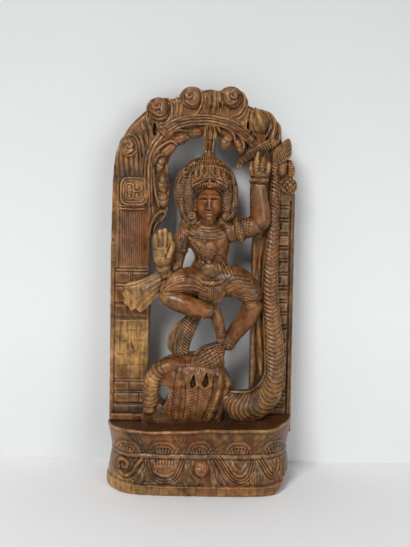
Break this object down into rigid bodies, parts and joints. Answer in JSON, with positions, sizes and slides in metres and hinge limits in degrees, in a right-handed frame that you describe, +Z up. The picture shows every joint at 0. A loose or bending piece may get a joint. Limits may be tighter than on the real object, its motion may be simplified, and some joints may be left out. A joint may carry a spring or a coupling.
{
  "type": "carved wooden temple panel",
  "caption": "Pierced wooden relief on a lotus plinth: a crowned figure dances on a hooded serpent under an arch of cloud scrolls.",
  "frame": {"origin": "middle of the flat underside of the plinth", "axes": "+Z up the panel, +Y towards its flat back, so that the carving faces -Y, +X to the right as seen from the front"},
  "size_m": [0.286, 0.112, 0.6099],
  "materials": {
    "wood": "polished hardwood, worn and darkened in the hollows"
  },
  "bodies": {
    "root": {"carved_panel": "wood"}
  },
  "joints": []
}
